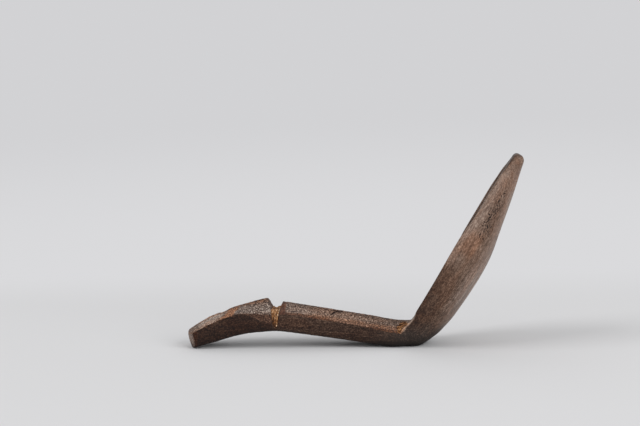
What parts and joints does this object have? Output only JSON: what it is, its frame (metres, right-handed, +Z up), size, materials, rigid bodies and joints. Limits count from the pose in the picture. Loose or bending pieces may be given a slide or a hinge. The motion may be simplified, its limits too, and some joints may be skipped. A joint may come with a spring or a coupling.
{
  "type": "carved wooden spoon",
  "caption": "Hand-carved wooden spoon with a deep oval bowl set steeply to a low, arched, roof-topped handle that is broken and mended near its tip.",
  "frame": {"origin": "middle of the footprint on the table, with the spoon standing on its heel and the tip of its handle", "axes": "+X along the handle towards the bowl, +Y across the spoon, +Z up"},
  "size_m": [0.2068, 0.057, 0.1148],
  "materials": {
    "aged_wood": "worn satin patina",
    "raw_wood": "raw, splintered"
  },
  "bodies": {
    "root": {"bowl_and_shank": "aged_wood", "handle_end": "aged_wood", "break_fill": "raw_wood"}
  },
  "joints": []
}
